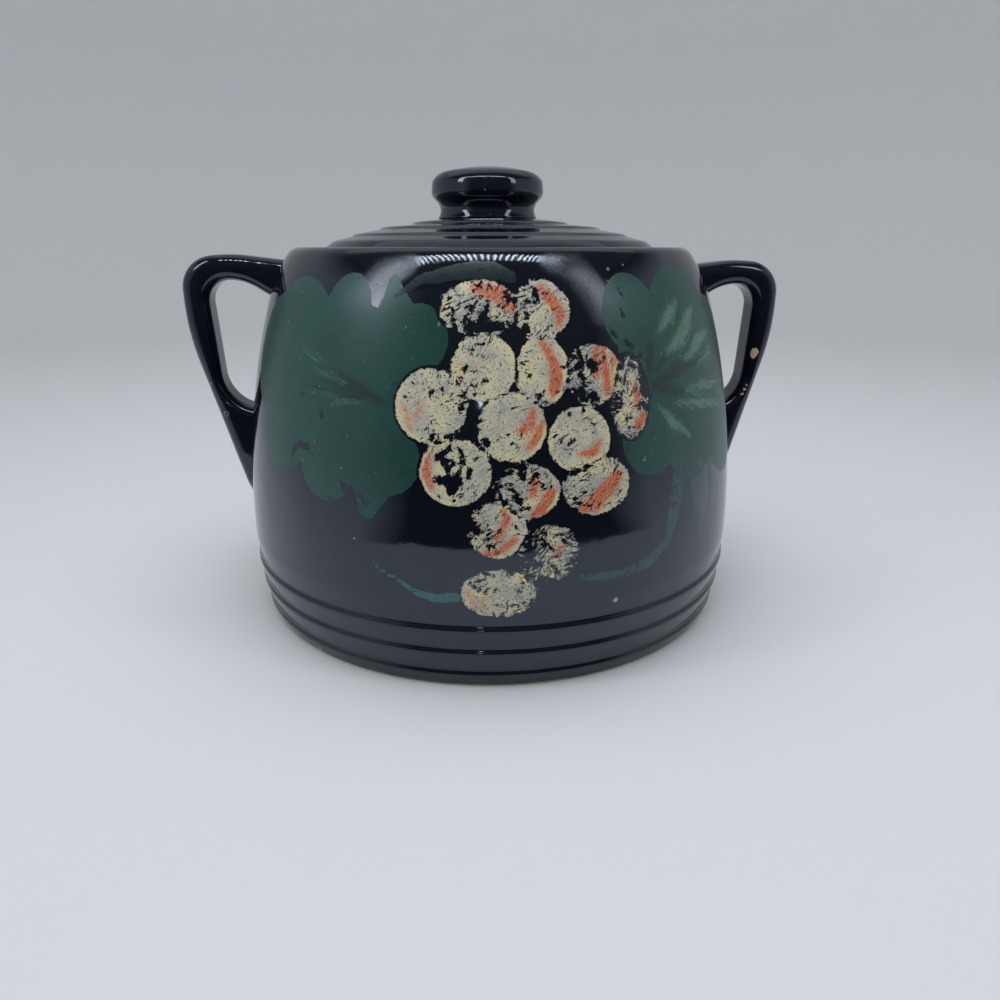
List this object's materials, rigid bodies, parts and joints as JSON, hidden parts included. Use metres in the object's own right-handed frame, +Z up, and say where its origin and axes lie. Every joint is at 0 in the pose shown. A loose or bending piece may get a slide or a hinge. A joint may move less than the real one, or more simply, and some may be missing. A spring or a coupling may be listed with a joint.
{
  "type": "bean pot",
  "caption": "Round stoneware bean pot with a stepped foot, two angular ear handles and a tiered, flat-domed lid that drops into a gallery and lifts off by its knob.",
  "frame": {"origin": "centre of the foot, on the plane that the foot stands on", "axes": "+Z up along the pot's axis; X along the two handles; the decorated side faces -Y"},
  "size_m": [0.2126, 0.178, 0.1522],
  "materials": {
    "painted_glaze": "gloss black glaze with a worn satin vine and grape ornament painted over it",
    "black_glaze": "gloss black glaze"
  },
  "bodies": {
    "pot": {"pot_body": "painted_glaze", "handle_left": "black_glaze", "handle_right": "black_glaze"},
    "lid": {"lid": "black_glaze", "lid_knob": "black_glaze"}
  },
  "joints": [
    {"name": "lid_lift", "type": "slide", "parent": "pot", "child": "lid", "axis": [0, 0, 1], "range_m": [0, 0.12]}
  ]
}
